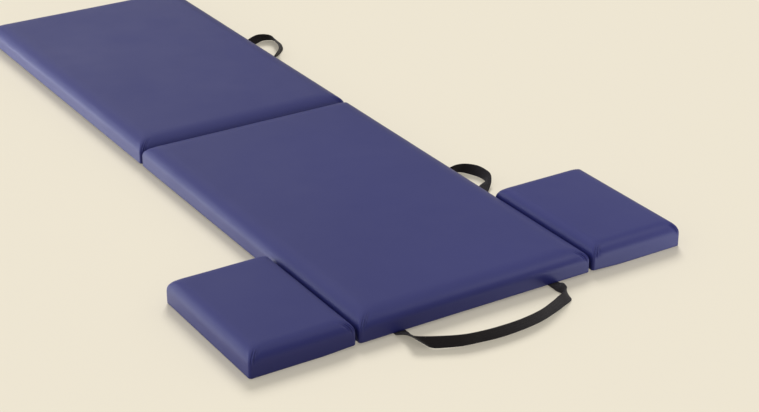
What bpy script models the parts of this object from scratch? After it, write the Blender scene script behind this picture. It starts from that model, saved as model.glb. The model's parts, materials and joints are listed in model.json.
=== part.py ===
"""Folding treatment mat: two long padded panels end to end and two arm-rest wings.

Each panel is a plywood board, a foam pad and a vinyl cover pulled round both and under the
board. Steel continuous hinges under the board edges join the panels, so they fold with their
undersides together. Three webbing handles come out from under the long panels.

Frame: +X to the right wing, -Y to the near end with the wings and the long handle, +Z up.
The origin is on the floor, under the middle of the whole object. All lengths are in metres.
"""

import math

import bmesh
import bpy
from mathutils import Matrix, Vector

# Driving dimensions.
PANEL_WIDTH = 0.550
HEAD_LENGTH = 0.962
FOOT_LENGTH = 0.938
WING_WIDTH = 0.230
WING_LENGTH = 0.349
PAD_HEIGHT = 0.052
JOINT_GAP = 0.007
FLOOR_GAP = 0.0042
FIT_GAP = 0.0003
FRONT_REACH = 0.1182

# Upholstery.
VINYL = 0.0012
BOARD = 0.012
CLOTH = 0.0006
SIDE_HEIGHT = 0.021
ROUND_ACROSS = 0.032
ROUND_UP = PAD_HEIGHT - SIDE_HEIGHT
CORNER_RADIUS = 0.006
CORNER_GROWTH = 0.4
HEM_RADIUS = 0.0015
RETURN_WIDTH = 0.040
CORNER_STEPS = 4
ROUND_STEPS = 7

# Continuous hinges; the axis is below the leaves, so that the undersides can meet.
KNUCKLE_RADIUS = 0.00175
BORE_RADIUS = 0.00105
PIN_RADIUS = 0.00075
LEAF = 0.0008
LEAF_WIDTH = 0.025
KNUCKLE_GAP = 0.0006
LEAF_CLEARANCE = 0.0005
LEAF_DROP = 0.0001
TOOTH_INSET = 0.001
HINGE_Z = FLOOR_GAP - FIT_GAP - KNUCKLE_RADIUS
CENTRE_HINGE_LENGTH = 0.500
CENTRE_KNUCKLES = 10
WING_HINGE_LENGTH = 0.318
WING_KNUCKLES = 6

# Glides: low feet under the board corners.
GLIDE_RADIUS = 0.012
GLIDE_TREAD_RADIUS = 0.0105
GLIDE_HEIGHT = FLOOR_GAP - FIT_GAP
GLIDE_BEVEL = 0.0012
GLIDE_FROM_SIDE = 0.045
GLIDE_FROM_END = 0.035
HEAD_GLIDE_FROM_FOLD = 0.060
FOOT_GLIDE_FROM_FOLD = 0.100
WING_GLIDE_FROM_SIDE = 0.030

# Webbing handles, and the plate and screw that clamp each strap end to the board.
STRAP_WIDTH = 0.026
STRAP = 0.0020
STRAP_Z = FLOOR_GAP - FIT_GAP - STRAP / 2
ROOT_OFFSET = 0.0015
LEG_END = 0.012
LEG_RISE = 0.006
STATIONS = 64
ROOT_ROUNDING = (9, 36, 72)
TAIL_FLAT_END = 0.0415
TAIL_RISE_END = 0.048
TAIL_END = 0.090
TAIL_RISE = VINYL + FIT_GAP
CLAMP_Y = 0.068
CLAMP_LENGTH = 0.032
CLAMP_WIDTH = 0.038
CLAMP = 0.0009
SCREW_HEAD_RADIUS = 0.0045
SCREW_HEAD = 0.0010
SCREW_RADIUS = 0.0018
SCREW_DEPTH = 0.0085
SCREW_HOLE_RADIUS = 0.0022
NOTCH_WIDTH = 0.034
NOTCH_MARGIN = 0.002

# Facets of the round pieces.
ROUND_SIDES = 16
SMALL_ROUND_SIDES = 12

# Places, worked out from the driving dimensions.
TOTAL_LENGTH = HEAD_LENGTH + JOINT_GAP + FOOT_LENGTH
NEAR_Y = (FRONT_REACH - TOTAL_LENGTH) / 2
FOLD_Y = NEAR_Y + HEAD_LENGTH + JOINT_GAP / 2
HEAD_CENTRE = Vector((0, NEAR_Y + HEAD_LENGTH / 2, 0))
FOOT_CENTRE = Vector((0, FOLD_Y + JOINT_GAP / 2 + FOOT_LENGTH / 2, 0))
WING_AXIS_X = PANEL_WIDTH / 2 + JOINT_GAP / 2
WING_CENTRE_X = PANEL_WIDTH / 2 + JOINT_GAP + WING_WIDTH / 2
WING_Y = NEAR_Y + WING_LENGTH / 2
BOARD_BOTTOM = FLOOR_GAP + VINYL + FIT_GAP
BOARD_TOP = BOARD_BOTTOM + BOARD
MM = 0.001

# Each handle: where the middle of its root line is, its turn about Z, the half distance
# between its two roots, and its route in millimetres. The route is in the handle's own
# frame, with the panel's edge along X and the loop reaching out along -Y. Each point gives
# the strap's two edges there: first the inner edge, which rests on the floor round the
# loop, then the outer edge, which stands up. Heights are those of the strap's underside.
SIDE_HANDLE_FROM_FOLD = 0.478
HANDLES = {
    "front": {
        "place": Vector((0, NEAR_Y, STRAP_Z)),
        "turn": 0.0,
        "half_span": 0.184,
        "route": [
            ((-171, -33, 0.6), (-190, -31, 15)),
            ((-168, -58, 0.4), (-191, -48, 22)),
            ((-162, -82, 0.4), (-189, -64, 26)),
            ((-138, -95, 0.4), (-152, -86, 26)),
            ((-108, -105, 0.4), (-110, -106, 27)),
            ((-73, -111, 0.4), (-72, -114, 27)),
            ((-30, -116, 0.4), (-30, -117, 27)),
            ((18, -115, 0.4), (19, -116, 27)),
            ((71, -108, 0.4), (71, -107, 27)),
            ((118, -94, 0.4), (113, -91, 27)),
            ((150, -82, 0.4), (134, -80, 26)),
            ((177, -68, 0.4), (155, -70, 25)),
            ((176, -45, 0.6), (176, -52, 21)),
            ((171, -25, 1), (188, -30, 15)),
        ],
    },
    "head_side": {
        "place": Vector((PANEL_WIDTH / 2, FOLD_Y - SIDE_HANDLE_FROM_FOLD, STRAP_Z)),
        "turn": math.pi / 2,
        "half_span": 0.060,
        "route": [
            ((-44, -28, 1.9), (-69, -36, 3)),
            ((-27, -44, 1.6), (-50, -58, 6)),
            ((-17, -61, 0.6), (-38, -70, 14)),
            ((-10, -73, 0.4), (-21, -78, 24)),
            ((10, -75, 0.4), (8, -79, 26)),
            ((33, -68, 0.4), (32, -75, 25)),
            ((57, -56, 0.4), (50, -59, 25)),
            ((65, -42, 0.4), (57, -37, 24)),
            ((57, -22, 0.8), (66, -20, 15)),
        ],
    },
    "foot_side": {
        "place": Vector((PANEL_WIDTH / 2, FOLD_Y + SIDE_HANDLE_FROM_FOLD, STRAP_Z)),
        "turn": math.pi / 2,
        "half_span": 0.060,
        "route": [
            ((-42, -34, 0.6), (-62, -33, 18)),
            ((-33, -55, 0.4), (-39, -58, 25)),
            ((-8, -83, 0.4), (0, -74, 22)),
            ((14, -97, 0.4), (22, -80, 18)),
            ((44, -106, 0.4), (50, -88, 18)),
            ((70, -102, 0.4), (60, -89, 20)),
            ((82, -92, 0.4), (70, -83, 22)),
            ((87, -75, 0.4), (77, -69, 24)),
            ((76, -50, 0.4), (78, -50, 25)),
            ((60, -24, 0.8), (74, -24, 18)),
        ],
    },
}


def clear_scene():
    for obj in list(bpy.data.objects):
        bpy.data.objects.remove(obj, do_unlink=True)


def material(name, colour, roughness, metallic=0.0):
    made = bpy.data.materials.new(name)
    made.use_nodes = True
    shader = made.node_tree.nodes["Principled BSDF"]
    shader.inputs["Base Color"].default_value = (*colour, 1.0)
    shader.inputs["Roughness"].default_value = roughness
    shader.inputs["Metallic"].default_value = metallic
    return made


def pivot(name, location):
    """An empty on a joint's axis, which the moving pieces hang from."""
    empty = bpy.data.objects.new(name, None)
    empty.location = location
    bpy.context.collection.objects.link(empty)
    return empty


def place(name, bm, look, location, turn=0.0, parent=None):
    """Makes an object of a mesh, at a world place, under the parent empty if it has one."""
    mesh = bpy.data.meshes.new(name)
    bm.to_mesh(mesh)
    bm.free()
    mesh.shade_smooth()
    mesh.set_sharp_from_angle(angle=math.radians(35))
    if look:
        mesh.materials.append(look)
    obj = bpy.data.objects.new(name, mesh)
    obj.location = Vector(location) - (parent.location if parent else Vector())
    obj.rotation_euler.z = turn
    obj.parent = parent
    bpy.context.collection.objects.link(obj)
    return obj


def as_cutter(obj):
    obj.hide_render = True
    obj.display_type = "WIRE"
    return obj


def combine(obj, cutter, operation="DIFFERENCE"):
    modifier = obj.modifiers.new(cutter.name, "BOOLEAN")
    modifier.operation = operation
    modifier.object = cutter
    modifier.solver = "EXACT"


def box(bm, low, high):
    """An upright box between two corners."""
    size = Vector(high) - Vector(low)
    middle = (Vector(high) + Vector(low)) / 2
    scale = Matrix.Diagonal((*size, 1.0))
    bmesh.ops.create_cube(bm, size=1.0, matrix=Matrix.Translation(middle) @ scale)


def join_rings(bm, rings, inward=False):
    """Walls between neighbouring rings of vertices, facing out, or in for a lining."""
    for lower, upper in zip(rings, rings[1:]):
        for i in range(len(lower)):
            j = (i + 1) % len(lower)
            corners = (lower[i], lower[j], upper[j], upper[i])
            bm.faces.new(corners[::-1] if inward else corners)


def close_ring(bm, ring, facing_up):
    bm.faces.new(ring if facing_up else ring[::-1])


def turned(bm, profile, steps, along_x=False):
    """A solid of revolution from (radius, height) points, lowest first."""
    spin = Matrix.Rotation(math.pi / 2, 4, "Y") if along_x else Matrix.Identity(4)
    rings = []
    for radius, height in profile:
        ring = []
        for i in range(steps):
            angle = 2 * math.pi * i / steps
            point = Vector((radius * math.cos(angle), radius * math.sin(angle), height))
            ring.append(bm.verts.new(spin @ point))
        rings.append(ring)
    join_rings(bm, rings)
    close_ring(bm, rings[0], facing_up=False)
    close_ring(bm, rings[-1], facing_up=True)


def outline(bm, size, inset, radius, z):
    """A rounded rectangle of vertices, counter-clockwise from above."""
    ring = []
    for quarter, (sx, sy) in enumerate(((1, 1), (-1, 1), (-1, -1), (1, -1))):
        cx = sx * (size.x / 2 - inset - radius)
        cy = sy * (size.y / 2 - inset - radius)
        for step in range(CORNER_STEPS + 1):
            angle = math.pi / 2 * (quarter + step / CORNER_STEPS)
            x = cx + radius * math.cos(angle)
            y = cy + radius * math.sin(angle)
            ring.append(bm.verts.new((x, y, z)))
    return ring


def shoulder(bm, size, depth):
    """Rings of the pad's rounded top edge, from the upright side to the flat top.

    The curve is a quarter ellipse, and depth is how far inside the cover's face it lies."""
    rings = []
    for step in range(ROUND_STEPS + 1):
        angle = math.pi / 2 * step / ROUND_STEPS
        across = ROUND_UP * math.cos(angle)
        up = ROUND_ACROSS * math.sin(angle)
        reach = math.hypot(across, up)
        rounding = ROUND_ACROSS * (1 - math.cos(angle))
        inset = rounding + depth * across / reach
        z = FLOOR_GAP + SIDE_HEIGHT + ROUND_UP * math.sin(angle) - depth * up / reach
        radius = CORNER_RADIUS + CORNER_GROWTH * rounding - depth * across / reach
        rings.append(outline(bm, size, inset, radius, z))
    return rings


def cover(bm, size):
    """The vinyl cover: top and sides, turned under the board, with its underside open."""
    under_top = FLOOR_GAP + VINYL
    mouth = outline(bm, size, RETURN_WIDTH, CORNER_RADIUS, FLOOR_GAP)
    hem = outline(bm, size, HEM_RADIUS, CORNER_RADIUS - HEM_RADIUS / 2, FLOOR_GAP)
    foot = outline(bm, size, 0, CORNER_RADIUS, FLOOR_GAP + HEM_RADIUS)
    outside = [mouth, hem, foot, *shoulder(bm, size, 0)]
    join_rings(bm, outside)
    close_ring(bm, outside[-1], facing_up=True)
    mouth_top = outline(bm, size, RETURN_WIDTH, CORNER_RADIUS, under_top)
    inner_foot = outline(bm, size, VINYL, CORNER_RADIUS - VINYL, under_top)
    lining = [mouth, mouth_top, inner_foot, *shoulder(bm, size, VINYL)]
    join_rings(bm, lining, inward=True)
    close_ring(bm, lining[-1], facing_up=False)


def foam(bm, size):
    depth = VINYL + FIT_GAP
    base = outline(bm, size, depth, CORNER_RADIUS - depth, BOARD_TOP + FIT_GAP)
    rings = [base, *shoulder(bm, size, depth)]
    join_rings(bm, rings)
    close_ring(bm, rings[0], facing_up=False)
    close_ring(bm, rings[-1], facing_up=True)


def slab(bm, size, inset, radius, bottom, top):
    rings = [outline(bm, size, inset, radius, z) for z in (bottom, top)]
    join_rings(bm, rings)
    close_ring(bm, rings[0], facing_up=False)
    close_ring(bm, rings[1], facing_up=True)


def padded_panel(name, centre, size, looks, parent=None):
    """The board, foam pad, vinyl cover and base cloth of one panel."""
    depth = VINYL + FIT_GAP
    bm = bmesh.new()
    slab(bm, size, depth, CORNER_RADIUS - depth, BOARD_BOTTOM, BOARD_TOP)
    board = place(f"{name}_board", bm, looks["plywood"], centre, parent=parent)
    bm = bmesh.new()
    foam(bm, size)
    place(f"{name}_foam", bm, looks["foam"], centre, parent=parent)
    bm = bmesh.new()
    cover(bm, size)
    place(f"{name}_cover", bm, looks["vinyl"], centre, parent=parent)
    bm = bmesh.new()
    cloth_top = BOARD_BOTTOM - FIT_GAP
    cloth_inset = RETURN_WIDTH + FIT_GAP
    slab(bm, size, cloth_inset, CORNER_RADIUS, cloth_top - CLOTH, cloth_top)
    cloth = place(f"{name}_base_cloth", bm, looks["base_cloth"], centre, parent=parent)
    return board, cloth


def glides(name, centre, spots, look, parent=None):
    for tag, x, y in spots:
        bm = bmesh.new()
        profile = [
            (GLIDE_TREAD_RADIUS, 0),
            (GLIDE_RADIUS, GLIDE_BEVEL),
            (GLIDE_RADIUS, GLIDE_HEIGHT),
        ]
        turned(bm, profile, ROUND_SIDES)
        place(f"{name}_glide_{tag}", bm, look, centre + Vector((x, y, 0)), parent=parent)


def hinge_leaf(name, at, turn, length, knuckles, first, side, look, parent=None):
    """One leaf of a continuous hinge: a plate with every second knuckle, bored for the pin.

    The axis is the leaf's own X axis, and the plate lies on its +Y side or its -Y side."""
    pitch = length / knuckles
    high = KNUCKLE_RADIUS - LEAF_DROP
    low = high - LEAF
    plate_edge = KNUCKLE_RADIUS + LEAF_CLEARANCE
    comb = [(length / 2, LEAF_WIDTH), (-length / 2, LEAF_WIDTH), (-length / 2, plate_edge)]
    rods = bmesh.new()
    for k in range(first, knuckles, 2):
        start = -length / 2 + k * pitch + KNUCKLE_GAP / 2
        end = start + pitch - KNUCKLE_GAP
        ends = [(KNUCKLE_RADIUS, start), (KNUCKLE_RADIUS, end)]
        turned(rods, ends, ROUND_SIDES, along_x=True)
        left, right = start + TOOTH_INSET, end - TOOTH_INSET
        comb += [(left, plate_edge), (left, PIN_RADIUS)]
        comb += [(right, PIN_RADIUS), (right, plate_edge)]
    comb.append((length / 2, plate_edge))
    plate = bmesh.new()
    rings = [[plate.verts.new((x, side * y, z)) for x, y in comb] for z in (low, high)]
    join_rings(plate, rings, inward=side > 0)
    close_ring(plate, rings[0], facing_up=side > 0)
    close_ring(plate, rings[1], facing_up=side < 0)
    leaf = place(name, plate, look, at, turn, parent)
    tubes = as_cutter(place(f"{name}_tubes", rods, None, at, turn, parent))
    bore = bmesh.new()
    turned(bore, [(BORE_RADIUS, -length), (BORE_RADIUS, length)], ROUND_SIDES, along_x=True)
    bore = as_cutter(place(f"{name}_bore", bore, None, at, turn, parent))
    combine(leaf, tubes, "UNION")
    combine(leaf, bore)


def hinge_pin(name, at, turn, length, look):
    bm = bmesh.new()
    ends = [(PIN_RADIUS, -length / 2), (PIN_RADIUS, length / 2)]
    turned(bm, ends, SMALL_ROUND_SIDES, along_x=True)
    place(name, bm, look, at, turn)


def smooth_route(points, stations):
    """Points along a Catmull-Rom curve through the given points."""
    ends = [2 * points[0] - points[1], *points, 2 * points[-1] - points[-2]]
    spans = len(points) - 1
    curve = []
    for k in range(stations + 1):
        span = min(int(k * spans / stations), spans - 1)
        t = k * spans / stations - span
        a, b, c, d = ends[span : span + 4]
        bend = (2 * a - 5 * b + 4 * c - d) * t**2 + (3 * b - a - 3 * c + d) * t**3
        curve.append(b + ((c - a) * t + bend) / 2)
    return curve


def strap_stations(handle):
    """For each station of a loop: its centre, and the vector from there to its outer edge."""
    underside = STRAP_Z - STRAP / 2
    route = [[Vector(edge) * MM for edge in edges] for edges in handle["route"]]
    for sign in (-1, 1):
        inner = sign * (handle["half_span"] - STRAP_WIDTH / 2)
        outer = sign * (handle["half_span"] + STRAP_WIDTH / 2)
        root = [Vector((x, -ROOT_OFFSET, underside)) for x in (inner, outer)]
        leg = [Vector((inner, -LEG_END, underside)), Vector((outer, -LEG_END, LEG_RISE))]
        route = [root, leg, *route] if sign < 0 else [*route, leg, root]
    edges = [smooth_route([pair[side] for pair in route], STATIONS) for side in (0, 1)]
    stations = []
    for inner, outer in zip(*edges):
        reach = (outer - inner) / 2
        level = math.hypot(reach.x, reach.y) / reach.length
        rise = Vector((0, 0, STRAP / 2 * level - STRAP_Z))
        stations.append(((inner + outer) / 2 + rise, reach))
    return stations


def handle_loop(name, handle, look):
    """A webbing loop swept along its route, with round ends on its swing axis."""
    stations = strap_stations(handle)
    centres = [centre for centre, _ in stations]
    last = len(stations) - 1
    sections = []
    for k, (centre, reach) in enumerate(stations):
        ahead = (centres[min(k + 1, last)] - centres[max(k - 1, 0)]).normalized()
        sections.append((centre, reach, ahead.cross(reach).normalized(), STRAP / 2))
    rounded = []
    for angle in ROOT_ROUNDING:
        back = Vector((0, STRAP / 2 * math.cos(math.radians(angle)), 0))
        rounded.append((back, STRAP / 2 * math.sin(math.radians(angle))))
    first, final = sections[0], sections[-1]
    start = [(first[0] + back, first[1], first[2], half) for back, half in rounded]
    finish = [(final[0] + back, final[1], final[2], half) for back, half in rounded[::-1]]
    bm = bmesh.new()
    rings = []
    for centre, across, face, half in [*start, *sections, *finish]:
        through = face * half
        corners = (across + through, -across + through, -across - through, across - through)
        rings.append([bm.verts.new(centre + corner) for corner in corners])
    join_rings(bm, rings)
    close_ring(bm, rings[0], facing_up=False)
    close_ring(bm, rings[-1], facing_up=True)
    bmesh.ops.recalc_face_normals(bm, faces=bm.faces)
    at = handle["place"]
    swing = Matrix.Rotation(handle["turn"], 4, "Z") @ Vector((0, -ROOT_OFFSET, 0))
    bm.transform(Matrix.Translation((0, ROOT_OFFSET, 0)))
    place(name, bm, look, at + swing, handle["turn"])


def strap_tail(name, at, turn, look, parent):
    """The strap's end under the board: flat under the cover's return, then up to the board."""
    bm = bmesh.new()
    path = [(0, 0), (TAIL_FLAT_END, 0), (TAIL_RISE_END, TAIL_RISE), (TAIL_END, TAIL_RISE)]
    lower = [(y, z - STRAP / 2) for y, z in path]
    upper = [(y, z + STRAP / 2) for y, z in path[::-1]]
    sides = []
    for x in (-STRAP_WIDTH / 2, STRAP_WIDTH / 2):
        sides.append([bm.verts.new((x, y, z)) for y, z in lower + upper])
    join_rings(bm, sides)
    close_ring(bm, sides[0], facing_up=False)
    close_ring(bm, sides[1], facing_up=True)
    return place(name, bm, look, at, turn, parent)


def strap_root(name, at, turn, board, cloth, looks, parent=None):
    """A strap's fixed end: the tail, its clamp plate and its screw into the board."""
    local = Matrix.Translation(at) @ Matrix.Rotation(turn, 4, "Z")
    spot = local @ Vector((0, CLAMP_Y, -at.z))
    tail = strap_tail(f"{name}_tail", at, turn, looks["webbing"], parent)
    bore = bmesh.new()
    depth = BOARD_BOTTOM + SCREW_DEPTH + FIT_GAP
    turned(bore, [(SCREW_HOLE_RADIUS, 0), (SCREW_HOLE_RADIUS, depth)], SMALL_ROUND_SIDES)
    bore = as_cutter(place(f"{name}_screw_hole", bore, None, spot, parent=parent))
    notch = bmesh.new()
    notch_end = TAIL_END + NOTCH_MARGIN
    box(notch, (-NOTCH_WIDTH / 2, 0, -FLOOR_GAP), (NOTCH_WIDTH / 2, notch_end, FLOOR_GAP))
    notch = as_cutter(place(f"{name}_notch", notch, None, at, turn, parent))
    plate_top = STRAP_Z + TAIL_RISE - STRAP / 2 - FIT_GAP
    bm = bmesh.new()
    half_plate = Vector((CLAMP_WIDTH / 2, CLAMP_LENGTH / 2, 0))
    box(bm, -half_plate + Vector((0, 0, plate_top - CLAMP)), half_plate + Vector((0, 0, plate_top)))
    plate = place(f"{name}_clamp", bm, looks["steel"], spot, turn, parent)
    head_top = plate_top - CLAMP - FIT_GAP
    tip = BOARD_BOTTOM + SCREW_DEPTH
    profile = [
        (SCREW_HEAD_RADIUS * 0.7, head_top - SCREW_HEAD),
        (SCREW_HEAD_RADIUS, head_top - SCREW_HEAD / 2),
        (SCREW_HEAD_RADIUS, head_top),
        (SCREW_RADIUS, head_top),
        (SCREW_RADIUS, tip - 2 * SCREW_RADIUS),
        (SCREW_RADIUS / 6, tip),
    ]
    bm = bmesh.new()
    turned(bm, profile, SMALL_ROUND_SIDES)
    place(f"{name}_screw", bm, looks["steel"], spot, parent=parent)
    for piece in (tail, plate, board):
        combine(piece, bore)
    combine(cloth, notch)


def build():
    clear_scene()
    looks = {
        "vinyl": material("navy_vinyl", (0.078, 0.078, 0.175), 0.45),
        "foam": material("foam", (0.80, 0.77, 0.66), 0.95),
        "plywood": material("plywood", (0.55, 0.40, 0.24), 0.70),
        "base_cloth": material("base_cloth", (0.030, 0.030, 0.032), 0.95),
        "webbing": material("black_webbing", (0.020, 0.018, 0.020), 0.85),
        "steel": material("zinc_steel", (0.62, 0.62, 0.60), 0.35, 1.0),
        "glide": material("black_rubber", (0.035, 0.035, 0.035), 0.80),
    }
    fold = pivot("centre_fold_axis", (0, FOLD_Y, HINGE_Z))
    wing_axes = {
        "left": pivot("left_wing_axis", (-WING_AXIS_X, WING_Y, HINGE_Z)),
        "right": pivot("right_wing_axis", (WING_AXIS_X, WING_Y, HINGE_Z)),
    }

    head_size = Vector((PANEL_WIDTH, HEAD_LENGTH, 0))
    foot_size = Vector((PANEL_WIDTH, FOOT_LENGTH, 0))
    wing_size = Vector((WING_WIDTH, WING_LENGTH, 0))
    head_board, head_cloth = padded_panel("head", HEAD_CENTRE, head_size, looks)
    foot_board, foot_cloth = padded_panel("foot", FOOT_CENTRE, foot_size, looks, fold)

    corner_x = PANEL_WIDTH / 2 - GLIDE_FROM_SIDE
    head_near_y = -HEAD_LENGTH / 2 + GLIDE_FROM_END
    head_fold_y = HEAD_LENGTH / 2 - HEAD_GLIDE_FROM_FOLD
    foot_fold_y = -FOOT_LENGTH / 2 + FOOT_GLIDE_FROM_FOLD
    foot_far_y = FOOT_LENGTH / 2 - GLIDE_FROM_END
    head_spots = [
        ("near_left", -corner_x, head_near_y),
        ("near_right", corner_x, head_near_y),
        ("fold_left", -corner_x, head_fold_y),
        ("fold_right", corner_x, head_fold_y),
    ]
    foot_spots = [
        ("fold_left", -corner_x, foot_fold_y),
        ("fold_right", corner_x, foot_fold_y),
        ("far_left", -corner_x, foot_far_y),
        ("far_right", corner_x, foot_far_y),
    ]
    glides("head", HEAD_CENTRE, head_spots, looks["glide"])
    glides("foot", FOOT_CENTRE, foot_spots, looks["glide"], fold)

    fold_at = Vector((0, FOLD_Y, HINGE_Z))
    span = (CENTRE_HINGE_LENGTH, CENTRE_KNUCKLES)
    hinge_leaf("fold_leaf_head", fold_at, 0.0, *span, 0, -1, looks["steel"])
    hinge_leaf("fold_leaf_foot", fold_at, 0.0, *span, 1, 1, looks["steel"], fold)
    hinge_pin("fold_pin", fold_at, 0.0, CENTRE_HINGE_LENGTH, looks["steel"])

    for wing, side in (("left", -1), ("right", 1)):
        axis = wing_axes[wing]
        centre = Vector((side * WING_CENTRE_X, WING_Y, 0))
        padded_panel(f"{wing}_wing", centre, wing_size, looks, axis)
        outer_x = side * (WING_WIDTH / 2 - WING_GLIDE_FROM_SIDE)
        end_y = WING_LENGTH / 2 - GLIDE_FROM_END
        spots = [("near", outer_x, -end_y), ("far", outer_x, end_y)]
        glides(f"{wing}_wing", centre, spots, looks["glide"], axis)
        at = Vector((side * WING_AXIS_X, WING_Y, HINGE_Z))
        span = (WING_HINGE_LENGTH, WING_KNUCKLES)
        quarter = math.pi / 2
        hinge_leaf(f"{wing}_leaf_head", at, quarter, *span, 0, side, looks["steel"])
        hinge_leaf(f"{wing}_leaf_wing", at, quarter, *span, 1, -side, looks["steel"], axis)
        hinge_pin(f"{wing}_pin", at, quarter, WING_HINGE_LENGTH, looks["steel"])

    for tag, handle in HANDLES.items():
        handle_loop(f"{tag}_handle", handle, looks["webbing"])
        parent = fold if tag == "foot_side" else None
        board, cloth = (foot_board, foot_cloth) if parent else (head_board, head_cloth)
        local = Matrix.Rotation(handle["turn"], 4, "Z")
        for end, sign in (("a", -1), ("b", 1)):
            at = handle["place"] + local @ Vector((sign * handle["half_span"], 0, 0))
            strap_root(f"{tag}_strap_{end}", at, handle["turn"], board, cloth, looks, parent)


build()
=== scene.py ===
"""The looks of a folding treatment mat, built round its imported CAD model.

Four padded panels in navy vinyl lie open on a pale floor, and three black webbing handles
come out from under them. Lengths are in metres, and +X, -Y and +Z are the frame's own.
"""

import json
import math

import bmesh
import bpy
from mathutils import Matrix, Vector, noise


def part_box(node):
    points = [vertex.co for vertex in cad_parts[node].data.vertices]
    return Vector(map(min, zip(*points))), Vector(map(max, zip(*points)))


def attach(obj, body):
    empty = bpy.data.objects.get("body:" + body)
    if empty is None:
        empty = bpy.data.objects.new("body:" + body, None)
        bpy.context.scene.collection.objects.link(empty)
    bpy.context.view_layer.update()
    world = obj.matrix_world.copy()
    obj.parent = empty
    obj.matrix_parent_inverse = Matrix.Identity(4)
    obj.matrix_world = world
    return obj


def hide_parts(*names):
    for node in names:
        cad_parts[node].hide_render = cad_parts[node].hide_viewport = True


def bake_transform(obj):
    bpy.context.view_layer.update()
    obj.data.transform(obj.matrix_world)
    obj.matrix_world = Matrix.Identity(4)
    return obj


# Camera, from the near end of the head panel.
CAMERA_FROM_NEAR_END = (-1.84514, -2.59901, 1.76918)
CAMERA_YAW = 31.857
CAMERA_PITCH = 25.883
CAMERA_ROLL = 0.107
CAMERA_LENS = 87.40
SENSOR = 36.0

# Covers. Heights are from a cover's underside, and insets are from its outline.
SIDE_HEIGHT = 0.024
ROUND_ACROSS = {"head": 0.050, "foot": 0.050, "left_wing": 0.033, "right_wing": 0.033}
ROUND_FLATNESS = 2.3
ROUND_FULLNESS = 2.3
ROUND_STEPS = 20
CORNER_RADIUS = 0.006
CORNER_GROWTH = 0.35
CORNER_STEPS = 12
HEM_RADIUS = 0.0015
HEM_STEPS = 3
SIDE_STEPS = 7
RETURN_INSETS = (0.040, 0.028, 0.016, 0.006)
VINYL = 0.0012
BOARD_ROOM = 0.0138
CROWN = 0.0012
FINE_STEP = 0.0012
COARSE_STEP = 0.0095
STEP_GROWTH = 1.25

# Slack in the covers. The wings' free hems hang lower than the rest of their undersides.
WAVE = 0.0003
WAVE_SCALES = ((9.0, 1.0), (23.0, 0.5))
HEM_SAG = {"left_wing": 0.0030, "right_wing": 0.0036}
HEM_SAG_WIDTH = 0.016
HEM_SAG_FADE = 0.080
CORNER_FOLD = 0.0005
CORNER_FOLDS = 9
CORNER_FOLD_REACH = 0.040
CORNER_FOLD_FADE = 0.030
CORNER_FOLD_FOOT = 0.018
CORNER_FOLD_RISE = 0.015

# Pleats, where the vinyl is gathered beside the corners of a panel's end faces: distances
# from the corner and depths.
PLEATS = ((0.0035, 0.0018), (0.0092, 0.0022), (0.0145, 0.0014))
PLEAT_WIDTH = 0.0016
PLEATED_WIDTH = 0.020
PLEAT_FOOT = 0.022
PLEAT_FOOT_FADE = 0.012
PLEAT_TOP = 0.052
PLEAT_TOP_FADE = 0.008

# Webbing: its section, its fixed ends under the board as distances in from the panel's edge and
# rises, and its loops. A route gives the strap's two edges in millimetres, in the handle's own
# frame.
STRAP_WIDTH = 0.026
STRAP = 0.0020
STRAP_COLUMNS = 10
EDGE_ROUND = 0.06
STATIONS_PER_SPAN = 14
TAIL_PATH = (
    (0.0885, 0.0015),
    (0.0700, 0.0015),
    (0.0490, 0.0015),
    (0.0410, 0.0),
    (0.0200, 0.0),
    (-0.0015, 0.0),
)
LEG_END = 0.012
LEG_RISE = 0.006
MM = 0.001
HANDLES = {
    "front": {
        "body": "head_panel",
        "half_span": 0.184,
        "route": [
            ((-171, -33, 0.6), (-190, -31, 15)),
            ((-168, -58, 0.4), (-191, -48, 22)),
            ((-162, -82, 0.4), (-189, -64, 26)),
            ((-138, -95, 0.4), (-152, -86, 26)),
            ((-108, -105, 0.4), (-110, -106, 27)),
            ((-73, -111, 0.4), (-72, -114, 27)),
            ((-30, -116, 0.4), (-30, -117, 27)),
            ((18, -115, 0.4), (19, -116, 27)),
            ((71, -108, 0.4), (71, -107, 27)),
            ((118, -94, 0.4), (113, -91, 27)),
            ((150, -82, 0.4), (134, -80, 26)),
            ((177, -68, 0.4), (155, -70, 25)),
            ((176, -45, 0.6), (176, -52, 21)),
            ((171, -25, 1), (188, -30, 15)),
        ],
    },
    "head_side": {
        "body": "head_panel",
        "half_span": 0.060,
        "route": [
            ((-44, -28, 1.9), (-69, -36, 3)),
            ((-27, -44, 1.6), (-50, -58, 6)),
            ((-17, -61, 0.6), (-38, -70, 14)),
            ((-10, -73, 0.4), (-21, -78, 24)),
            ((10, -75, 0.4), (8, -79, 26)),
            ((33, -68, 0.4), (32, -75, 25)),
            ((57, -56, 0.4), (50, -59, 25)),
            ((65, -42, 0.4), (57, -37, 24)),
            ((57, -22, 0.8), (66, -20, 15)),
        ],
    },
    "foot_side": {
        "body": "foot_panel",
        "half_span": 0.060,
        "route": [
            ((-42, -34, 0.6), (-62, -33, 18)),
            ((-33, -55, 0.4), (-39, -58, 25)),
            ((-8, -83, 0.4), (0, -74, 22)),
            ((14, -97, 0.4), (22, -80, 18)),
            ((44, -106, 0.4), (50, -88, 18)),
            ((70, -102, 0.4), (60, -89, 20)),
            ((82, -92, 0.4), (70, -83, 22)),
            ((87, -75, 0.4), (77, -69, 24)),
            ((76, -50, 0.4), (78, -50, 25)),
            ((60, -24, 0.8), (74, -24, 18)),
        ],
    },
}

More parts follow.
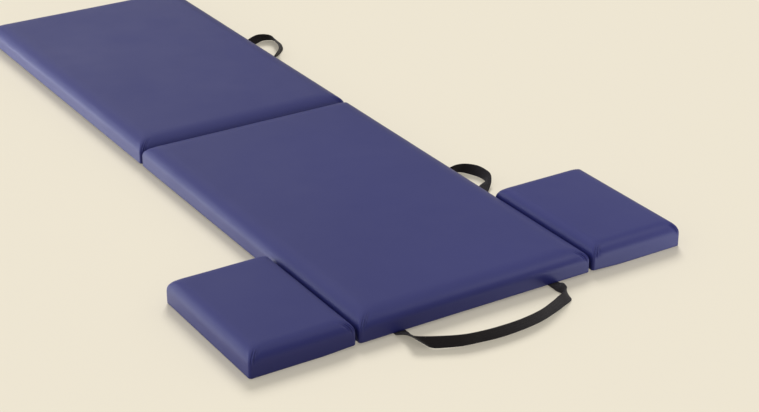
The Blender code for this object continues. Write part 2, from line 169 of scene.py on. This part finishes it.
# Small fittings. A screw head is given by its radii and heights.
LEAF_UNDERSIDE = 0.00325
SCREW_HEAD = (
    (0.0007, -0.0001),
    (0.0010, -0.0006),
    (0.0021, -0.0006),
    (0.0030, -0.0003),
    (0.0033, 0.0001),
)
HINGE_SCREW_FROM_AXIS = 0.016
HINGE_SCREW_SPACING = 0.052
STAPLE_INSET = 0.035
STAPLE_SPACING = 0.042
STAPLE_LENGTH = 0.010
STAPLE_WIDTH = 0.0011
STAPLE_WIRE = 0.0004
STAPLE_ROOM = 0.007
FITTINGS = ("glide", "leaf", "strap")

# Colours, linear.
NAVY = (0.0205, 0.0220, 0.118)
NAVY_DEEP = (0.0185, 0.0200, 0.110)
NAVY_GRAIN = (0.0165, 0.0180, 0.100)
WEBBING = (0.0100, 0.0068, 0.0076)
WEBBING_DEEP = (0.0062, 0.0042, 0.0048)
FLOOR_COLOUR = (0.84, 0.775, 0.635)

# Lights. The floor's key light comes from behind the mat, and the mat's left side and the
# light off the floor are cool.
FLOOR_KEY_FROM = (0.41, 0.66, 0.63)
SUN_HEIGHT = 3.0
COOL = (0.80, 0.84, 1.0)

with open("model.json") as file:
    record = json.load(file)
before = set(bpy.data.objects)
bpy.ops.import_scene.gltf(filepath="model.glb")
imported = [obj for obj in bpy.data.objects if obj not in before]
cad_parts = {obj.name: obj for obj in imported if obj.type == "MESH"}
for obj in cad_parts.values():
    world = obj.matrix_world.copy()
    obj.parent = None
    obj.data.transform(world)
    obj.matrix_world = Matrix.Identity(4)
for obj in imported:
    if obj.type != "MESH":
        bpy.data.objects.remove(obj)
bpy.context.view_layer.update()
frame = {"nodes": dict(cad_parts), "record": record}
NODES = frame["nodes"]
BODIES = frame["record"]["behaviour"]["bodies"]


# ---------------------------------------------------------------- node-graph helpers


class Graph:
    """A material's nodes, made and joined by name. An input called _3 is a node's fourth."""

    def __init__(self, name):
        self.material = bpy.data.materials.new(name)
        self.material.use_nodes = True
        self.tree = self.material.node_tree
        self.shader = self.tree.nodes["Principled BSDF"]

    def node(self, kind, settings=(), **links):
        made = self.tree.nodes.new(f"ShaderNode{kind}")
        for key, value in dict(settings).items():
            setattr(made, key, value)
        for key, value in links.items():
            self.feed(made.inputs[int(key[1:]) if key[1:].isdigit() else key], value)
        return made

    def feed(self, socket, value):
        if isinstance(value, bpy.types.NodeSocket):
            self.tree.links.new(value, socket)
        else:
            socket.default_value = value

    def set(self, **values):
        for key, value in values.items():
            self.feed(self.shader.inputs[key.replace("_", " ")], value)

    def coords(self, stretch=(1.0, 1.0, 1.0)):
        place = self.node("TexCoord").outputs["Object"]
        return self.node("Mapping", _0=place, _3=stretch).outputs[0]

    def noise(self, scale, detail=2.0, roughness=0.5, vector=None):
        made = self.node("TexNoise")
        self.feed(made.inputs["Vector"], vector or self.coords())
        self.feed(made.inputs["Scale"], scale)
        self.feed(made.inputs["Detail"], detail)
        self.feed(made.inputs["Roughness"], roughness)
        return made.outputs["Fac"]

    def cells(self, scale, feature="F1", vector=None):
        made = self.node("TexVoronoi", {"feature": feature})
        self.feed(made.inputs["Vector"], vector or self.coords())
        self.feed(made.inputs["Scale"], scale)
        return made.outputs["Distance"]

    def maths(self, operation, *values):
        made = self.node("Math", {"operation": operation})
        for socket, value in zip(made.inputs, values):
            self.feed(socket, value)
        return made.outputs[0]

    def spread(self, value, low, high, start=0.0, end=1.0):
        made = self.node("MapRange")
        for socket, item in zip(made.inputs, (value, start, end, low, high)):
            self.feed(socket, item)
        return made.outputs[0]

    def mix(self, factor, first, second):
        made = self.node("Mix", {"data_type": "RGBA"})
        self.feed(made.inputs[0], factor)
        self.feed(made.inputs[6], (*first, 1.0) if isinstance(first, tuple) else first)
        self.feed(made.inputs[7], (*second, 1.0) if isinstance(second, tuple) else second)
        return made.outputs[2]

    def bump(self, height, distance, strength=1.0, normal=None):
        made = self.node("Bump")
        self.feed(made.inputs["Strength"], strength)
        self.feed(made.inputs["Distance"], distance)
        self.feed(made.inputs["Height"], height)
        if normal:
            self.feed(made.inputs["Normal"], normal)
        return made.outputs[0]


def vinyl_material():
    """Coated upholstery vinyl: fine pebble grain, a soft sheen and slight colour drift."""
    graph = Graph("vinyl_navy")
    drift = graph.noise(2.2, detail=3.0)
    grain = graph.cells(900.0)
    pores = graph.noise(2600.0, detail=2.0)
    colour = graph.mix(graph.spread(drift, 0.0, 1.0, 0.3, 0.7), NAVY_DEEP, NAVY)
    colour = graph.mix(graph.spread(grain, 0.10, 0.0, 0.0, 0.5), colour, NAVY_GRAIN)
    roughness = graph.spread(graph.noise(7.0, detail=4.0), 0.39, 0.45, 0.3, 0.7)
    normal = graph.bump(grain, 0.00010, 0.5)
    normal = graph.bump(pores, 0.00004, 0.4, normal)
    graph.set(Base_Color=colour, Roughness=roughness, Normal=normal)
    graph.set(Specular_IOR_Level=0.25)
    return graph.material


def webbing_material():
    """Black polypropylene webbing: a twill of ribs set by the strap's own length and width."""
    graph = Graph("webbing_black")
    flat = graph.node("UVMap", {"uv_map": "strap"}).outputs[0]
    split = graph.node("SeparateXYZ", _0=flat)
    along, across = split.outputs[0], split.outputs[1]
    zigzag = graph.maths("PINGPONG", across, 0.0032)
    twill = graph.maths("SINE", graph.maths("MULTIPLY", graph.maths("ADD", along, zigzag), 2600.0))
    warp = graph.maths("SINE", graph.maths("MULTIPLY", across, 5900.0))
    weave = graph.maths("MULTIPLY_ADD", warp, 0.35, twill)
    fuzz = graph.noise(1500.0, detail=3.0)
    shade = graph.spread(weave, 0.0, 1.0, -1.35, 1.35)
    colour = graph.mix(shade, WEBBING_DEEP, WEBBING)
    normal = graph.bump(weave, 0.00016, 0.8)
    normal = graph.bump(fuzz, 0.00010, 0.5, normal)
    roughness = graph.spread(fuzz, 0.62, 0.82, 0.3, 0.7)
    graph.set(Base_Color=colour, Roughness=roughness, Normal=normal)
    graph.set(Specular_IOR_Level=0.2, Sheen_Weight=0.08, Sheen_Roughness=0.4)
    return graph.material


def cloth_material():
    """Black nonwoven base cloth, felted and slightly dusty."""
    graph = Graph("base_cloth_black")
    fibres = graph.noise(900.0, detail=5.0, roughness=0.75)
    dimples = graph.cells(420.0)
    colour = graph.mix(graph.spread(fibres, 0.0, 1.0, 0.35, 0.7), (0.010,) * 3, (0.030,) * 3)
    normal = graph.bump(fibres, 0.00020, 0.7)
    normal = graph.bump(dimples, 0.00015, 0.5, normal)
    graph.set(Base_Color=colour, Roughness=0.95, Normal=normal, Sheen_Weight=0.2)
    return graph.material


def plywood_material():
    """Birch plywood: long grain on the faces, with darker growth lines."""
    graph = Graph("plywood_birch")
    grain = graph.coords((90.0, 6.0, 700.0))
    rings = graph.noise(1.0, detail=6.0, roughness=0.6, vector=grain)
    shade = graph.spread(rings, 0.0, 1.0, 0.3, 0.7)
    colour = graph.mix(shade, (0.42, 0.28, 0.15), (0.62, 0.46, 0.28))
    graph.set(Base_Color=colour, Roughness=0.72, Normal=graph.bump(rings, 0.0002, 0.6))
    return graph.material


def foam_material():
    """Open-cell foam, cream and pitted."""
    graph = Graph("foam_cream")
    pits = graph.cells(700.0)
    shade = graph.spread(pits, 0.0, 1.0, 0.0, 0.6)
    colour = graph.mix(shade, (0.52, 0.47, 0.33), (0.80, 0.76, 0.62))
    graph.set(Base_Color=colour, Roughness=0.95, Normal=graph.bump(pits, 0.0006, 0.8))
    return graph.material


def steel_material():
    """Zinc-plated steel, with a fine spangle and rolled lines."""
    graph = Graph("steel_zinc")
    spangle = graph.cells(160.0)
    lines = graph.noise(1.0, detail=4.0, vector=graph.coords((900.0, 12.0, 900.0)))
    colour = graph.mix(spangle, (0.66, 0.66, 0.64), (0.48, 0.49, 0.50))
    roughness = graph.spread(lines, 0.26, 0.42, 0.3, 0.7)
    graph.set(Base_Color=colour, Roughness=roughness, Normal=graph.bump(lines, 0.00003, 0.5))
    graph.set(Metallic=1.0)
    return graph.material


def rubber_material():
    """Moulded black rubber with a light bloom."""
    graph = Graph("rubber_black")
    bloom = graph.noise(220.0, detail=4.0)
    grain = graph.noise(2400.0, detail=2.0)
    colour = graph.mix(graph.spread(bloom, 0.0, 1.0, 0.35, 0.75), (0.016,) * 3, (0.034,) * 3)
    graph.set(Base_Color=colour, Roughness=0.78, Normal=graph.bump(grain, 0.00005, 0.6))
    return graph.material


def floor_material():
    """Seamless cream floor, quite matte."""
    graph = Graph("floor_cream")
    drift = graph.noise(0.8, detail=2.0)
    colour = graph.mix(drift, FLOOR_COLOUR, tuple(0.995 * c for c in FLOOR_COLOUR))
    graph.set(Base_Color=colour, Roughness=1.0, Specular_IOR_Level=0.0)
    return graph.material


# ---------------------------------------------------------------- mesh helpers


def add_piece(name, bm, look, body=None, smooth=35.0):
    mesh = bpy.data.meshes.new(name)
    bm.to_mesh(mesh)
    bm.free()
    mesh.shade_smooth()
    mesh.set_sharp_from_angle(angle=math.radians(smooth))
    mesh.materials.append(look)
    obj = bpy.data.objects.new(name, mesh)
    bpy.context.collection.objects.link(obj)
    if body:
        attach(obj, body)
    return obj


def join_rings(bm, rings):
    for lower, upper in zip(rings, rings[1:]):
        for i in range(len(lower)):
            j = (i + 1) % len(lower)
            bm.faces.new((lower[i], lower[j], upper[j], upper[i]))


def graded(length):
    """Fractions along a straight run, fine at both ends and coarse in the middle."""
    steps = []
    step, total = FINE_STEP, 0.0
    while total + step < length / 2:
        steps.append(step)
        total += step
        step = min(step * STEP_GROWTH, COARSE_STEP)
    half = [0.0]
    for step in steps:
        half.append(half[-1] + step)
    half = [h * (length / 2) / (half[-1] + step / 2) for h in half]
    return [h / length for h in half] + [1 - h / length for h in half[::-1]]


def outline_points(size, inset, radius, runs):
    """A rounded rectangle, counter-clockwise from the foot of its right, far corner's arc.

    runs are the fractions along its straight sides: those along X, then those along Y."""
    arcs = []
    for quarter, (sx, sy) in enumerate(((1, 1), (-1, 1), (-1, -1), (1, -1))):
        cx = sx * (size.x / 2 - inset - radius)
        cy = sy * (size.y / 2 - inset - radius)
        arc = []
        for step in range(CORNER_STEPS + 1):
            angle = math.pi / 2 * (quarter + step / CORNER_STEPS)
            arc.append(Vector((cx + radius * math.cos(angle), cy + radius * math.sin(angle))))
        arcs.append(arc)
    points = []
    for quarter, arc in enumerate(arcs):
        following = arcs[(quarter + 1) % 4][0]
        points += arc
        points += [arc[-1].lerp(following, fraction) for fraction in runs[quarter % 2][1:-1]]
    return points


def cap_grid(bm, ring, across, along, rise):
    """Fills a ring with a grid. across and along are its segments in X and in Y."""
    shift = 2 * (CORNER_STEPS + 1) + (across - CORNER_STEPS - 1) + (along - CORNER_STEPS - 1)
    shift += CORNER_STEPS // 2
    ring = ring[shift:] + ring[:shift]
    south = ring[: across + 1]
    east = ring[across : across + along + 1]
    north = ring[across + along : 2 * across + along + 1][::-1]
    west = ([ring[0]] + ring[2 * across + along :][::-1])[: along + 1]
    grid = []
    for j in range(along + 1):
        row = []
        for i in range(across + 1):
            if j == 0:
                row.append(south[i])
            elif j == along:
                row.append(north[i])
            elif i == 0:
                row.append(west[j])
            elif i == across:
                row.append(east[j])
            else:
                u = (south[i].co.x - south[0].co.x) / (south[-1].co.x - south[0].co.x)
                v = (west[j].co.y - west[0].co.y) / (west[-1].co.y - west[0].co.y)
                edge = south[i].co.lerp(north[i].co, v) + west[j].co.lerp(east[j].co, u)
                low = south[0].co.lerp(south[-1].co, u)
                high = north[0].co.lerp(north[-1].co, u)
                row.append(bm.verts.new(edge - low.lerp(high, v)))
        grid.append(row)
    for j in range(along):
        for i in range(across):
            bm.faces.new((grid[j][i], grid[j][i + 1], grid[j + 1][i + 1], grid[j + 1][i]))
    for row in grid[1:-1]:
        for vertex in row[1:-1]:
            vertex.co.z += rise(vertex.co)


def eased(value):
    value = min(max(value, 0.0), 1.0)
    return value * value * (3 - 2 * value)


def pleat_depth(along, height):
    """Depth of the gathers at a distance from the corner, along an end face."""
    fade = eased((height - PLEAT_FOOT) / PLEAT_FOOT_FADE)
    fade *= eased((PLEAT_TOP - height) / PLEAT_TOP_FADE)
    deep = [depth * math.exp(-(((along - spot) / PLEAT_WIDTH) ** 2)) for spot, depth in PLEATS]
    return fade * sum(deep)


def hem_sag(panel, size, point):
    """How far the free hem of a wing hangs below the rest of its underside, at a point."""
    hinge_side = -1 if panel == "right_wing" else 1
    from_hinge = size.x / 2 - hinge_side * point.x
    from_free_edge = min(size.x - from_hinge, size.y / 2 - abs(point.y))
    share = max(1 - from_free_edge / HEM_SAG_WIDTH, 0.0) * max(1 - point.z / SIDE_HEIGHT, 0.0)
    return HEM_SAG.get(panel, 0.0) * share * eased(from_hinge / HEM_SAG_FADE)


def settle(point, panel, size, seed):
    """Moves a point of a cover by its slack: waves, pleats, corner folds and a sagging hem."""
    from_side = size.x / 2 - abs(point.x)
    from_end = size.y / 2 - abs(point.y)
    if point.z > 0:
        flow = Vector((point.x, point.y, 2 * point.z))
        wave = WAVE * eased(point.z / SIDE_HEIGHT)
        wave *= sum(share * noise.noise(seed + flow * scale) for scale, share in WAVE_SCALES)
        outward = max(1 - min(from_side, from_end) / ROUND_ACROSS[panel], 0.0)
        across = 0 if from_side < from_end else 1
        point[across] += math.copysign(1, point[across]) * wave * outward
        point.z += wave * (1 - outward)
        past_corner = from_side - from_end
        if 0 < past_corner < PLEATED_WIDTH:
            sunk = pleat_depth(past_corner, point.z) * math.sqrt(0.5)
            point.y -= math.copysign(sunk, point.y)
            point.z -= sunk
        corner = math.hypot(from_side, from_end)
        if corner < CORNER_FOLD_REACH and point.z > CORNER_FOLD_FOOT:
            fade = eased((CORNER_FOLD_REACH - corner) / CORNER_FOLD_FADE)
            fade *= eased((point.z - CORNER_FOLD_FOOT) / CORNER_FOLD_RISE)
            turn = CORNER_FOLDS * math.atan2(from_end, from_side)
            point.z -= CORNER_FOLD * fade * (0.5 + 0.5 * math.cos(turn))
    point.z -= hem_sag(panel, size, point)


def pad_levels(panel, height):
    """Each ring's inset, corner radius and height, from a pad's turned-in edge to its top."""
    levels = [(inset, CORNER_RADIUS, 0.0) for inset in RETURN_INSETS]
    for step in range(HEM_STEPS + 1):
        angle = math.pi / 2 * step / HEM_STEPS
        inset = HEM_RADIUS * (1 - math.sin(angle))
        levels.append((inset, CORNER_RADIUS - inset / 2, HEM_RADIUS * (1 - math.cos(angle))))
    for step in range(1, SIDE_STEPS + 1):
        z = HEM_RADIUS + (SIDE_HEIGHT - HEM_RADIUS) * step / SIDE_STEPS
        levels.append((0.0, CORNER_RADIUS, z))
    for step in range(1, ROUND_STEPS + 1):
        left = max(math.cos(math.pi / 2 * step / ROUND_STEPS), 0.0)
        inset = ROUND_ACROSS[panel] * (1 - left)
        rise = (1 - left**ROUND_FLATNESS) ** (1 / ROUND_FULLNESS)
        z = SIDE_HEIGHT + (height - SIDE_HEIGHT) * rise
        levels.append((inset, CORNER_RADIUS + CORNER_GROWTH * inset, z))
    return levels


def make_pad(panel, body):
    """A panel's foam pad in its cover: crowned, round-edged, pleated at the corners."""
    low, high = (Vector(corner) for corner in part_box(f"{panel}_cover"))
    size = high - low
    centre = Vector(((low.x + high.x) / 2, (low.y + high.y) / 2, low.z))
    rounding = ROUND_ACROSS[panel]
    runs = [graded(size.x - 2 * CORNER_RADIUS), graded(size.y - 2 * CORNER_RADIUS)]
    bm = bmesh.new()

    def ring(inset, radius, z):
        points = outline_points(size, inset, radius, runs)
        return [bm.verts.new((point.x, point.y, z)) for point in points]

    def crown(point):
        u = point.x / (size.x / 2 - rounding)
        v = point.y / (size.y / 2 - rounding)
        return CROWN * (1 - u * u) * (1 - v * v)

    rings = [ring(*level) for level in pad_levels(panel, size.z)]
    join_rings(bm, rings)
    across = len(runs[0]) - 1 + CORNER_STEPS
    along = len(runs[1]) - 1 + CORNER_STEPS
    cap_grid(bm, rings[-1], across, along, crown)
    seed = Vector((centre.x * 7.0, centre.y * 7.0, 3.0))
    for vertex in bm.verts:
        settle(vertex.co, panel, size, seed)
    lining = [rings[0], ring(RETURN_INSETS[0], CORNER_RADIUS, VINYL)]
    lining += [ring(VINYL, CORNER_RADIUS - VINYL, z) for z in (VINYL, BOARD_ROOM)]
    join_rings(bm, lining)
    bm.faces.new(lining[-1])
    bmesh.ops.recalc_face_normals(bm, faces=bm.faces)
    bmesh.ops.translate(bm, verts=bm.verts, vec=centre)
    pad = add_piece(f"{panel}_pad", bm, LOOKS["vinyl"], body, smooth=50.0)
    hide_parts(f"{panel}_cover", f"{panel}_foam")


# ---------------------------------------------------------------- webbing


def smooth_route(points, per_span):
    """Points along a Catmull-Rom curve through the given points."""
    ends = [2 * points[0] - points[1], *points, 2 * points[-1] - points[-2]]
    curve = []
    for span in range(len(points) - 1):
        a, b, c, d = ends[span : span + 4]
        for k in range(per_span):
            t = k / per_span
            bend = (2 * a - 5 * b + 4 * c - d) * t**2 + (3 * b - a - 3 * c + d) * t**3
            curve.append(b + ((c - a) * t + bend) / 2)
    curve.append(points[-1])
    return curve


def strap_stations(handle, underside):
    """A strap's middle and half its width as a vector, at stations from end to end."""
    ends = []
    for sign in (-1, 1):
        inner = sign * (handle["half_span"] - STRAP_WIDTH / 2)
        outer = sign * (handle["half_span"] + STRAP_WIDTH / 2)
        flat = [[Vector((x, y, underside + z)) for x in (inner, outer)] for y, z in TAIL_PATH]
        leg = [Vector((inner, -LEG_END, underside)), Vector((outer, -LEG_END, LEG_RISE))]
        ends.append([*flat, leg])
    loop = [[Vector(edge) * MM for edge in edges] for edges in handle["route"]]
    route = [*ends[0], *loop, *ends[1][::-1]]
    edges = [smooth_route([pair[side] for pair in route], STATIONS_PER_SPAN) for side in (0, 1)]
    stations = []
    for inner, outer in zip(*edges):
        reach = (outer - inner) / 2
        level = math.hypot(reach.x, reach.y) / reach.length
        stations.append(((inner + outer) / 2 + Vector((0, 0, STRAP / 2 * level)), reach))
    return stations


def strap_section():
    """Points round a strap's section, as shares of its half-width and half-thickness."""
    section = []
    for column in range(STRAP_COLUMNS + 1):
        across = 1 - 2 * column / STRAP_COLUMNS
        section.append((across * (1 - EDGE_ROUND), 1.0))
    edge = [(EDGE_ROUND / 3 - 1.0, 0.7), (-1.0, 0.0), (EDGE_ROUND / 3 - 1.0, -0.7)]
    underside = [(-across, -through) for across, through in section]
    far_edge = [(-across, -through) for across, through in edge]
    return section + edge + underside + far_edge


def weave_strap(bm, stations, section):
    """Skins a strap, with a UV map in metres along it and round it."""
    weave = bm.loops.layers.uv.new("strap")
    last = len(stations) - 1
    rings = []
    travelled = [0.0]
    for k, (centre, reach) in enumerate(stations):
        ahead = stations[min(k + 1, last)][0] - stations[max(k - 1, 0)][0]
        through = ahead.cross(reach).normalized() * STRAP / 2
        if k:
            travelled.append(travelled[-1] + (centre - stations[k - 1][0]).length)
        rings.append([bm.verts.new(centre + reach * a + through * t) for a, t in section])
    girth = [0.0]
    for (a, t), (b, s) in zip(section, section[1:] + section[:1]):
        girth.append(girth[-1] + math.hypot((a - b) * STRAP_WIDTH / 2, (t - s) * STRAP / 2))
    for k in range(last):
        for i in range(len(section)):
            j = (i + 1) % len(section)
            face = bm.faces.new((rings[k][i], rings[k][j], rings[k + 1][j], rings[k + 1][i]))
            spots = ((k, i), (k, i + 1), (k + 1, i + 1), (k + 1, i))
            for corner, (station, column) in zip(face.loops, spots):
                corner[weave].uv = (travelled[station], girth[column])
    bm.faces.new(rings[0])
    bm.faces.new(rings[-1][::-1])


def make_strap(tag, handle):
    """A whole handle: the loop and both fixed ends, one length of webbing."""
    tail_low, tail_high = (Vector(corner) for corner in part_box(f"{tag}_strap_a_tail"))
    other_high = Vector(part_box(f"{tag}_strap_b_tail")[1])
    if tag == "front":
        local = Matrix.Translation(((tail_low.x + other_high.x) / 2, tail_low.y, 0))
    else:
        middle = (tail_low.y + other_high.y) / 2
        local = Matrix.Translation((tail_high.x, middle, 0)) @ Matrix.Rotation(math.pi / 2, 4, "Z")
    underside = tail_low.z
    bm = bmesh.new()
    weave_strap(bm, strap_stations(handle, underside), strap_section())
    bmesh.ops.recalc_face_normals(bm, faces=bm.faces)
    bm.transform(local)
    strap = add_piece(f"{tag}_strap", bm, LOOKS["webbing"], smooth=60.0)
    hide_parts(f"{tag}_handle", f"{tag}_strap_a_tail", f"{tag}_strap_b_tail")
    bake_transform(strap)


# ---------------------------------------------------------------- small fittings


def lathe(bm, profile, place, steps=40):
    """A solid of revolution about Z from (radius, height) points, lowest first."""
    rings = []
    for radius, z in profile:
        ring = []
        for i in range(steps):
            angle = 2 * math.pi * i / steps
            point = Vector((radius * math.cos(angle), radius * math.sin(angle), z))
            ring.append(bm.verts.new(place + point))
        rings.append(ring)
    join_rings(bm, rings)
    bm.faces.new(rings[0][::-1])
    bm.faces.new(rings[-1])


def make_glide(node, body):
    low, high = (Vector(corner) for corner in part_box(node))
    place = Vector(((low.x + high.x) / 2, (low.y + high.y) / 2, low.z))
    radius, height = (high.x - low.x) / 2, high.z - low.z
    bm = bmesh.new()
    profile = [
        (0.0030, 0.0016),
        (0.0034, 0.0004),
        (0.0042, 0.0),
        (radius - 0.0018, 0.0),
        (radius - 0.0006, 0.0003),
        (radius - 0.0001, 0.0011),
        (radius, 0.0018),
        (radius, height - 0.0003),
        (radius - 0.0003, height),
    ]
    lathe(bm, profile, place)
    bmesh.ops.recalc_face_normals(bm, faces=bm.faces)
    glide = add_piece(f"{node}_foot", bm, LOOKS["rubber"], body)
    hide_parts(node)


def make_hinge_screws(leaf, body):
    """A row of domed screw heads along a hinge leaf, clear of its knuckles."""
    low, high = (Vector(corner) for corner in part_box(leaf))
    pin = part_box(leaf.split("_leaf_")[0] + "_pin")
    across = 0 if high.x - low.x < high.y - low.y else 1
    along = 1 - across
    axis = (pin[0][across] + pin[1][across]) / 2
    side = 1 if low[across] + high[across] > 2 * axis else -1
    length = high[along] - low[along]
    count = int(length // HINGE_SCREW_SPACING)
    bm = bmesh.new()
    for k in range(count):
        place = Vector((0, 0, LEAF_UNDERSIDE))
        place[across] = axis + side * HINGE_SCREW_FROM_AXIS
        place[along] = low[along] + length * (k + 0.5) / count
        lathe(bm, SCREW_HEAD, place, steps=24)
    bmesh.ops.recalc_face_normals(bm, faces=bm.faces)
    add_piece(f"{leaf}_screws", bm, LOOKS["steel"], body)


def make_staples(panel, body):
    """Staples that hold the turned-in edge of a cover to its board, clear of the fittings."""
    low, high = (Vector(corner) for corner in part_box(f"{panel}_cover"))
    fittings = [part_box(node) for node in BODIES[body] if any(kind in node for kind in FITTINGS)]
    x0, x1 = low.x + STAPLE_INSET, high.x - STAPLE_INSET
    y0, y1 = low.y + STAPLE_INSET, high.y - STAPLE_INSET
    lines = [((x0, y0), (x1, y0)), ((x0, y1), (x1, y1)), ((x0, y0), (x0, y1)), ((x1, y0), (x1, y1))]
    bm = bmesh.new()
    for start, end in lines:
        start, end = Vector((*start, low.z)), Vector((*end, low.z))
        run = end - start
        count = int(run.length // STAPLE_SPACING)
        for k in range(count):
            spot = start + run * (k + 0.5) / count
            if any(is_near(spot, *box) for box in fittings):
                continue
            turn = Matrix.Rotation(math.atan2(run.y, run.x) + 0.12 * math.sin(9.0 * k), 4, "Z")
            size = Matrix.Diagonal((STAPLE_LENGTH, STAPLE_WIDTH, STAPLE_WIRE, 1.0))
            place = Matrix.Translation(spot - Vector((0, 0, STAPLE_WIRE / 2)))
            made = bmesh.ops.create_cube(bm, size=1.0, matrix=place @ turn @ size)
            edges = {edge for vertex in made["verts"] for edge in vertex.link_edges}
            bmesh.ops.bevel(bm, geom=list(edges), offset=0.00015, segments=2, affect="EDGES")
    bmesh.ops.recalc_face_normals(bm, faces=bm.faces)
    add_piece(f"{panel}_staples", bm, LOOKS["steel"], body)


def is_near(spot, low, high):
    """Whether a staple at a spot would touch a box, seen from below."""
    return all(low[i] - STAPLE_ROOM < spot[i] < high[i] + STAPLE_ROOM for i in (0, 1))


# ---------------------------------------------------------------- stage


def make_floor():
    bm = bmesh.new()
    bmesh.ops.create_grid(bm, x_segments=1, y_segments=1, size=12.0)
    mesh = bpy.data.meshes.new("floor")
    bm.to_mesh(mesh)
    bm.free()
    mesh.materials.append(floor_material())
    floor = bpy.data.objects.new("floor", mesh)
    bpy.context.collection.objects.link(floor)
    return floor


def gather(name, objects):
    collection = bpy.data.collections.new(name)
    for obj in objects:
        collection.objects.link(obj)
    return collection


def add_lamp(name, light, toward, place, strength, lit, shaded_by=None, colour=(1, 1, 1)):
    """A lamp facing away from toward. lit and shaded_by name the pieces it works on."""
    light.energy = strength
    light.color = colour
    lamp = bpy.data.objects.new(name, light)
    lamp.location = place
    lamp.rotation_euler = Vector(toward).to_track_quat("Z", "Y").to_euler()
    lamp.visible_camera = False
    lamp.light_linking.receiver_collection = lit
    if shaded_by:
        lamp.light_linking.blocker_collection = shaded_by
    bpy.context.collection.objects.link(lamp)


def add_sun(name, toward, strength, angle, **links):
    light = bpy.data.lights.new(name, "SUN")
    light.angle = math.radians(angle)
    add_lamp(name, light, toward, (0, 0, SUN_HEIGHT), strength, **links)


def add_softbox(name, place, target, size, power, **links):
    light = bpy.data.lights.new(name, "AREA")
    light.shape = "RECTANGLE"
    light.size, light.size_y = size
    toward = Vector(place) - Vector(target)
    add_lamp(name, light, toward, place, power, **links)


def light_studio(mat_pieces, floor_pieces):
    """A soft key from behind for the floor's shadow, and a studio of soft lights for the mat.

    Only the mat blocks its own lights: the low ones stand for light off the floor.
    """
    add_sun("floor_key", FLOOR_KEY_FROM, 1.85, 24.0, lit=floor_pieces)
    add_sun("floor_fill", (0, 0, 1), 0.85, 30.0, lit=floor_pieces, shaded_by=floor_pieces)
    studio = {"lit": mat_pieces, "shaded_by": mat_pieces}
    foot_corner, wing_edge = (-0.3, 0.3, 0), (0.35, -0.9, 0)
    add_sun("mat_top", (0.0, 0.03, 1.0), 1.25, 80.0, **studio)
    add_sun("mat_back", (0.05, 0.84, 0.54), 0.40, 50.0, **studio)
    add_sun("mat_right_back", (0.67, 0.60, 0.44), 0.07, 20.0, **studio)
    add_softbox("right_box", (1.1, -1.5, 0.35), wing_edge, (0.6, 0.4), 1.2, **studio)
    add_softbox("right_top", (1.15, -1.25, 1.05), wing_edge, (0.8, 1.1), 5.2, **studio)
    studio["colour"] = COOL
    add_sun("mat_left", (-0.91, 0.0, 0.42), 1.05, 50.0, **studio)
    add_sun("mat_left_back", (-0.69, 0.58, 0.46), 0.46, 60.0, **studio)
    add_sun("mat_left_low", (-0.75, 0.62, 0.12), 0.34, 60.0, **studio)
    add_softbox("left_box", (-1.8, 2.4, 0.5), foot_corner, (2.0, 2.4), 40.0, **studio)
    add_softbox("left_bounce", (-1.4, 1.8, -0.7), foot_corner, (1.8, 1.2), 14.0, **studio)
    add_softbox("right_bounce", (0.85, -1.4, -0.2), wing_edge, (0.6, 0.5), 3.6, **studio)


def make_world(strength, colour):
    world = bpy.data.worlds.new("studio")
    world.use_nodes = True
    background = world.node_tree.nodes["Background"]
    background.inputs["Color"].default_value = (*colour, 1.0)
    background.inputs["Strength"].default_value = strength
    bpy.context.scene.world = world


def make_camera(near_end):
    camera = bpy.data.cameras.new("camera")
    camera.sensor_width = SENSOR
    camera.lens = CAMERA_LENS
    yaw, pitch, roll = (math.radians(a) for a in (CAMERA_YAW, CAMERA_PITCH, CAMERA_ROLL))
    turn = Matrix.Rotation(-yaw, 3, "Z") @ Matrix.Rotation(math.pi / 2 - pitch, 3, "X")
    holder = bpy.data.objects.new("camera", camera)
    holder.location = Vector(CAMERA_FROM_NEAR_END) + Vector((0, near_end, 0))
    holder.rotation_euler = (turn @ Matrix.Rotation(-roll, 3, "Z")).to_euler()
    bpy.context.collection.objects.link(holder)
    bpy.context.scene.camera = holder


# ---------------------------------------------------------------- the mat

LOOKS = {
    "vinyl": vinyl_material(),
    "webbing": webbing_material(),
    "cloth": cloth_material(),
    "plywood": plywood_material(),
    "foam": foam_material(),
    "steel": steel_material(),
    "rubber": rubber_material(),
}
NODE_LOOKS = {
    "base_cloth": "cloth",
    "board": "plywood",
    "foam": "foam",
    "clamp": "steel",
    "screw": "steel",
    "pin": "steel",
    "leaf": "steel",
}
PANELS = {
    "head": "head_panel",
    "foot": "foot_panel",
    "left_wing": "left_wing",
    "right_wing": "right_wing",
}

for node, obj in NODES.items():
    for kind, look in NODE_LOOKS.items():
        if kind in node:
            for slot in obj.material_slots:
                slot.material = LOOKS[look]

make_camera(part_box("head_cover")[0][1])
floor = make_floor()
make_world(0.38, (1.0, 1.0, 1.0))
bpy.context.scene.view_settings.view_transform = "Standard"

for panel, body in PANELS.items():
    make_pad(panel, body)
    make_staples(panel, body)
for body, nodes in BODIES.items():
    for node in nodes:
        if "glide" in node:
            make_glide(node, body)
        elif "_leaf_" in node:
            make_hinge_screws(node, body)
for tag, handle in HANDLES.items():
    make_strap(tag, handle)

mat = [obj for obj in bpy.context.scene.objects if obj.type == "MESH" and obj is not floor]
light_studio(gather("mat_pieces", mat), gather("floor_pieces", [floor]))
